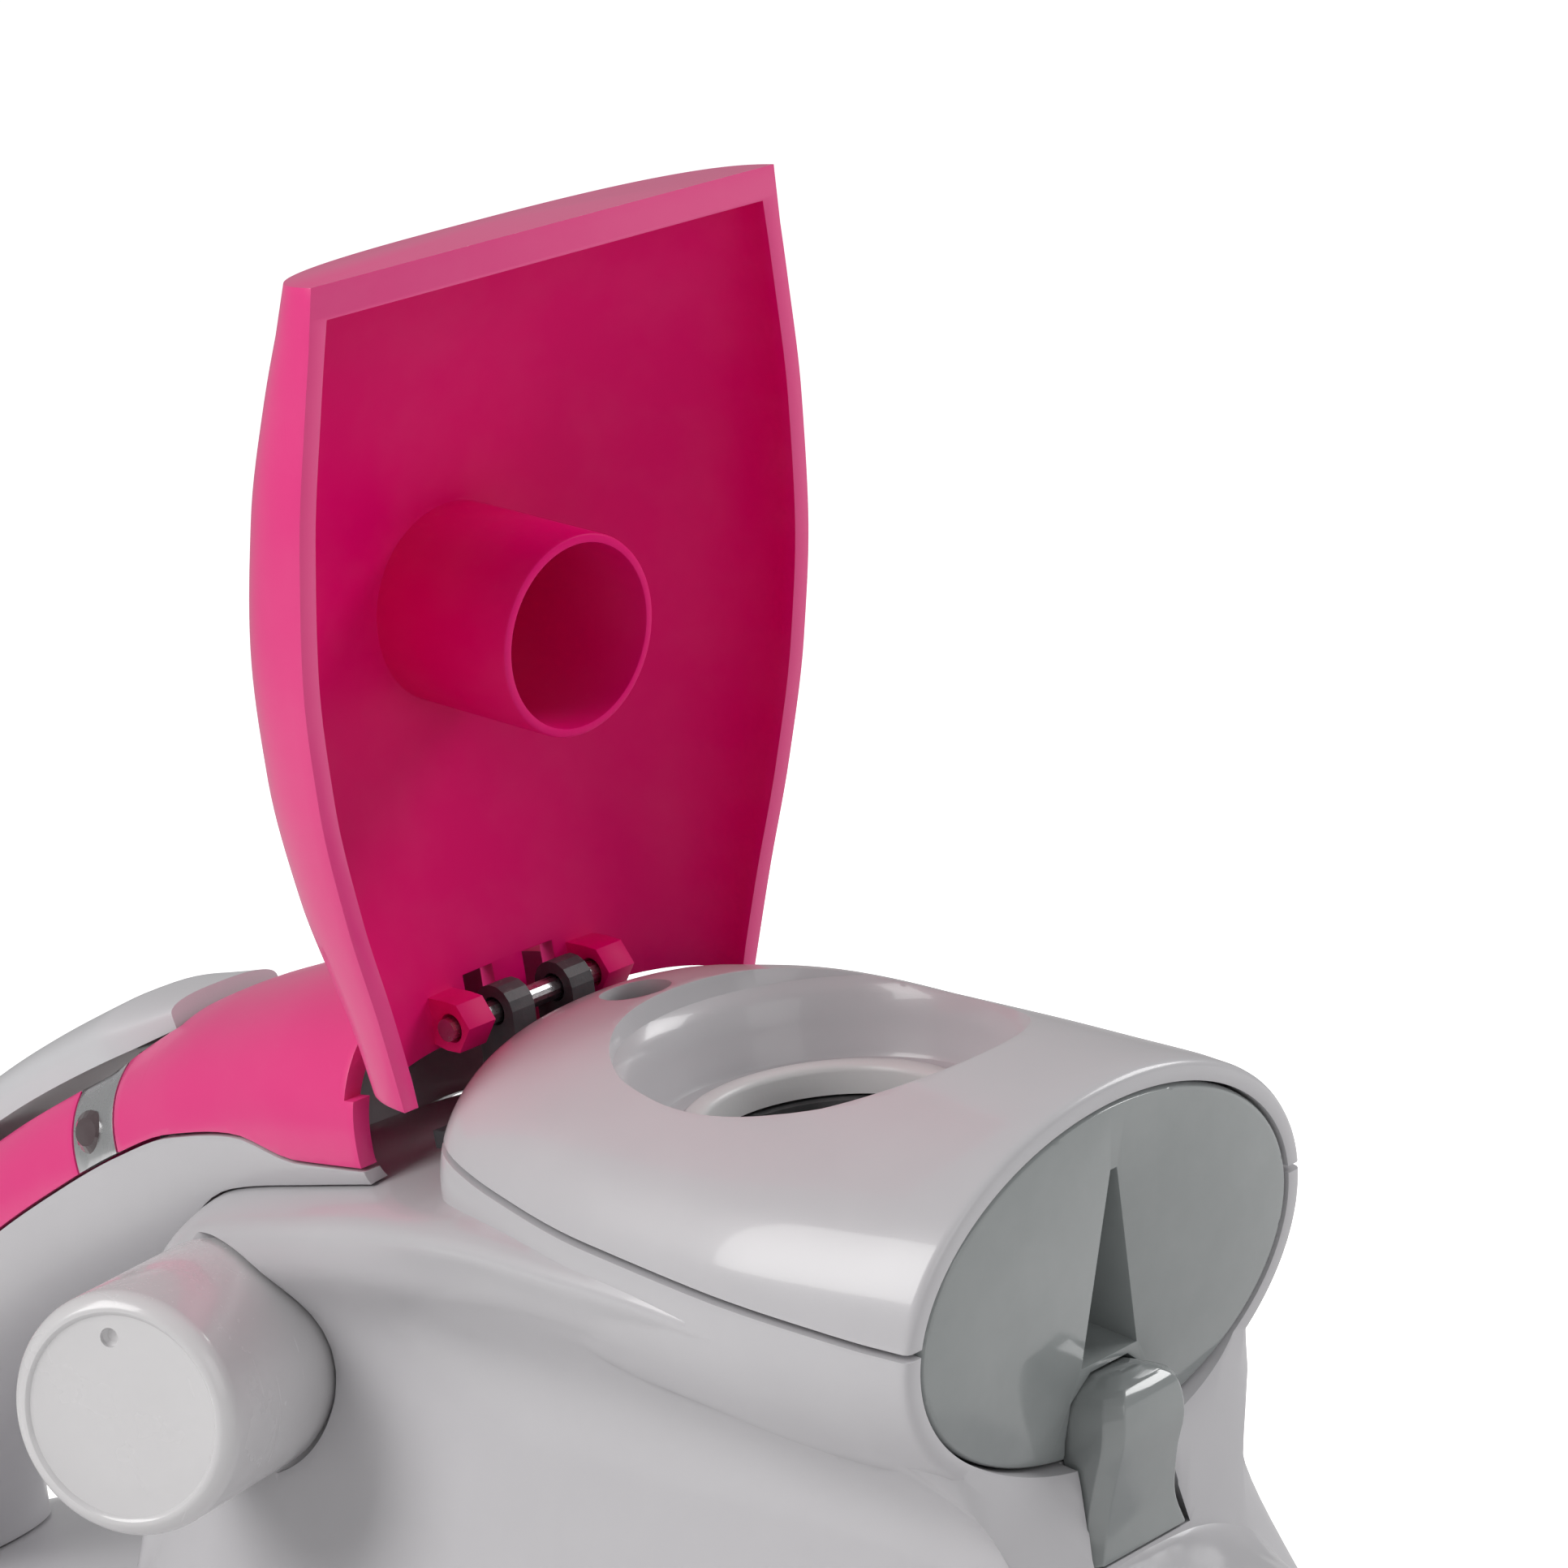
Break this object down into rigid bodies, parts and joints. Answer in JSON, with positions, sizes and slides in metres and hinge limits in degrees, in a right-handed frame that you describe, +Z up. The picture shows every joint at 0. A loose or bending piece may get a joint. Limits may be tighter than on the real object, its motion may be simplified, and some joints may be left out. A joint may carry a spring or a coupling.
{
  "type": "steam iron",
  "caption": "Household steam iron with its water tank lid standing open, arched handle with a long steam lever, side temperature dial and pointed soleplate.",
  "frame": {"origin": "on the resting plane, under the middle of the soleplate", "axes": "+X towards the nose, +Y to the user's left, +Z up"},
  "size_m": [0.3, 0.12, 0.217],
  "materials": {
    "pink": "glossy moulded",
    "light_grey": "glossy moulded",
    "pale_grey": "satin moulded",
    "smoke": "smoky, polished",
    "dark_grey": "matt moulded",
    "silver": "plated satin",
    "steel": "brushed",
    "aluminium": "as cast",
    "brass": "turned",
    "rubber": "soft moulded",
    "board": "lacquered board"
  },
  "bodies": {
    "iron": {"body_shell": "light_grey", "chamber_cover": "aluminium", "control_board": "board", "cord_gland": "rubber", "dome_shell": "light_grey", "drip_valve": "brass", "filler_collar": "pale_grey", "filler_seal": "rubber", "front_window": "smoke", "handle_band_left": "silver", "handle_band_right": "silver", "handle_cover_front": "pink", "handle_cover_rear": "pink", "handle_frame": "light_grey", "heat_shield": "dark_grey", "heating_element": "steel", "heel_screw_left": "steel", "heel_screw_right": "steel", "hinge_bracket": "dark_grey", "hinge_pin": "steel", "lever_pin": "steel", "pump_body": "dark_grey", "return_spring": "steel", "rotary_switch": "dark_grey", "soleplate": "steel", "spray_nozzle": "silver", "status_lamp": "smoke", "steam_casting": "aluminium", "tank_window": "smoke", "terminal_block": "dark_grey", "thermostat": "brass", "water_tank": "smoke"},
    "lid": {"lid": "pink"},
    "steam_lever": {"steam_lever": "pale_grey"},
    "plunger": {"pump_plunger": "dark_grey", "piston_seal": "rubber"},
    "dial": {"temperature_dial": "light_grey", "dial_shaft": "steel"}
  },
  "joints": [
    {"name": "lid_hinge", "type": "hinge", "parent": "iron", "child": "lid", "pos_m": [0.012, 0, 0.131], "axis": [0, 1, 0], "range_deg": [0, 84]},
    {"name": "steam_press", "type": "hinge", "parent": "iron", "child": "steam_lever", "pos_m": [-0.11226, 0, 0.0968], "axis": [0, 1, 0], "range_deg": [0, 2], "stiffness_Nm_per_rad": 2, "springref_deg": -1.72},
    {"name": "plunger_slide", "type": "slide", "parent": "iron", "child": "plunger", "axis": [0.2944, 0, -0.9557], "range_m": [0, 0.0024], "deforming": ["return_spring"]},
    {"name": "dial_turn", "type": "hinge", "parent": "iron", "child": "dial", "pos_m": [-0.0105, -0.0505, 0.0974], "axis": [0.3805, -0.9213, 0.0801], "range_deg": [0, 270]}
  ],
  "couplings": [
    {"joint": "plunger_slide", "follows": "steam_press", "m_per_rad": 0.06348}
  ]
}
